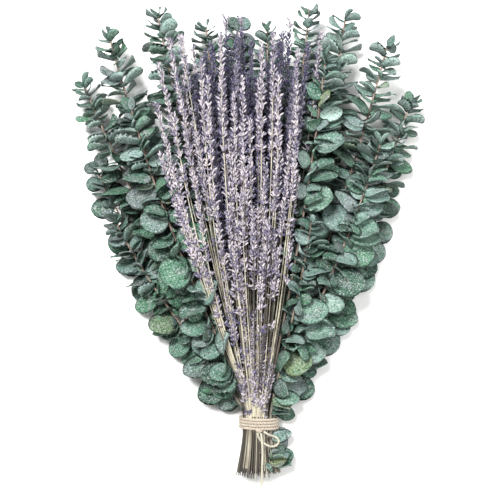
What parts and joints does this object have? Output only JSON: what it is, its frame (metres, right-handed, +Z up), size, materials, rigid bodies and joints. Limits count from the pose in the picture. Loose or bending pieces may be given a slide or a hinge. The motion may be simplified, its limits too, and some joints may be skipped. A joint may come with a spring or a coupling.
{
  "type": "dried eucalyptus bunch",
  "caption": "Dried round-leaved eucalyptus stems fanned round a sheaf of lavender, tied near the cut ends with jute twine and lying on its side.",
  "frame": {"origin": "on the surface that the bunch lies on, under the middle of its box without the loose ends of the twine", "axes": "+Z up from the surface, +Y from the cut ends to the tips, +X to the right as the bunch is seen from above"},
  "size_m": [0.3206, 0.4336, 0.0844],
  "materials": {
    "dried_leaf": "matt, with a pale waxy bloom",
    "dried_flower": "matt, dry and papery",
    "jute_twine": "matt, twisted and slightly hairy"
  },
  "bodies": {
    "root": {"eucalyptus_right_inner": "dried_leaf", "eucalyptus_left_outer": "dried_leaf", "eucalyptus_right_low": "dried_leaf", "eucalyptus_back_middle": "dried_leaf", "eucalyptus_left_front": "dried_leaf", "eucalyptus_right_front": "dried_leaf", "eucalyptus_right_middle": "dried_leaf", "eucalyptus_left_low": "dried_leaf", "eucalyptus_left_inner": "dried_leaf", "eucalyptus_left_shoulder": "dried_leaf", "eucalyptus_left_long": "dried_leaf", "eucalyptus_left_top": "dried_leaf", "eucalyptus_right_long": "dried_leaf", "eucalyptus_right_outer": "dried_leaf", "eucalyptus_right_top": "dried_leaf", "eucalyptus_right_pale": "dried_leaf", "eucalyptus_back_left": "dried_leaf", "eucalyptus_back_right": "dried_leaf", "lavender_pair_01": "dried_flower", "lavender_pair_02": "dried_flower", "lavender_pair_03": "dried_flower", "lavender_pair_04": "dried_flower", "lavender_pair_05": "dried_flower", "lavender_pair_06": "dried_flower", "lavender_pair_07": "dried_flower", "lavender_pair_08": "dried_flower", "lavender_pair_09": "dried_flower", "lavender_pair_10": "dried_flower", "lavender_pair_11": "dried_flower", "lavender_pair_12": "dried_flower", "lavender_pair_13": "dried_flower", "lavender_pair_14": "dried_flower", "lavender_pair_15": "dried_flower", "lavender_pair_16": "dried_flower", "lavender_pair_17": "dried_flower", "lavender_pair_18": "dried_flower", "lavender_pair_19": "dried_flower", "lavender_pair_20": "dried_flower", "lavender_pair_21": "dried_flower", "lavender_pair_22": "dried_flower", "lavender_pair_23": "dried_flower", "lavender_pair_24": "dried_flower", "lavender_pair_25": "dried_flower", "lavender_pair_26": "dried_flower", "lavender_pair_27": "dried_flower", "twine_wrap": "jute_twine", "twine_knot": "jute_twine", "twine_loop": "jute_twine", "twine_tail": "jute_twine"}
  },
  "joints": []
}
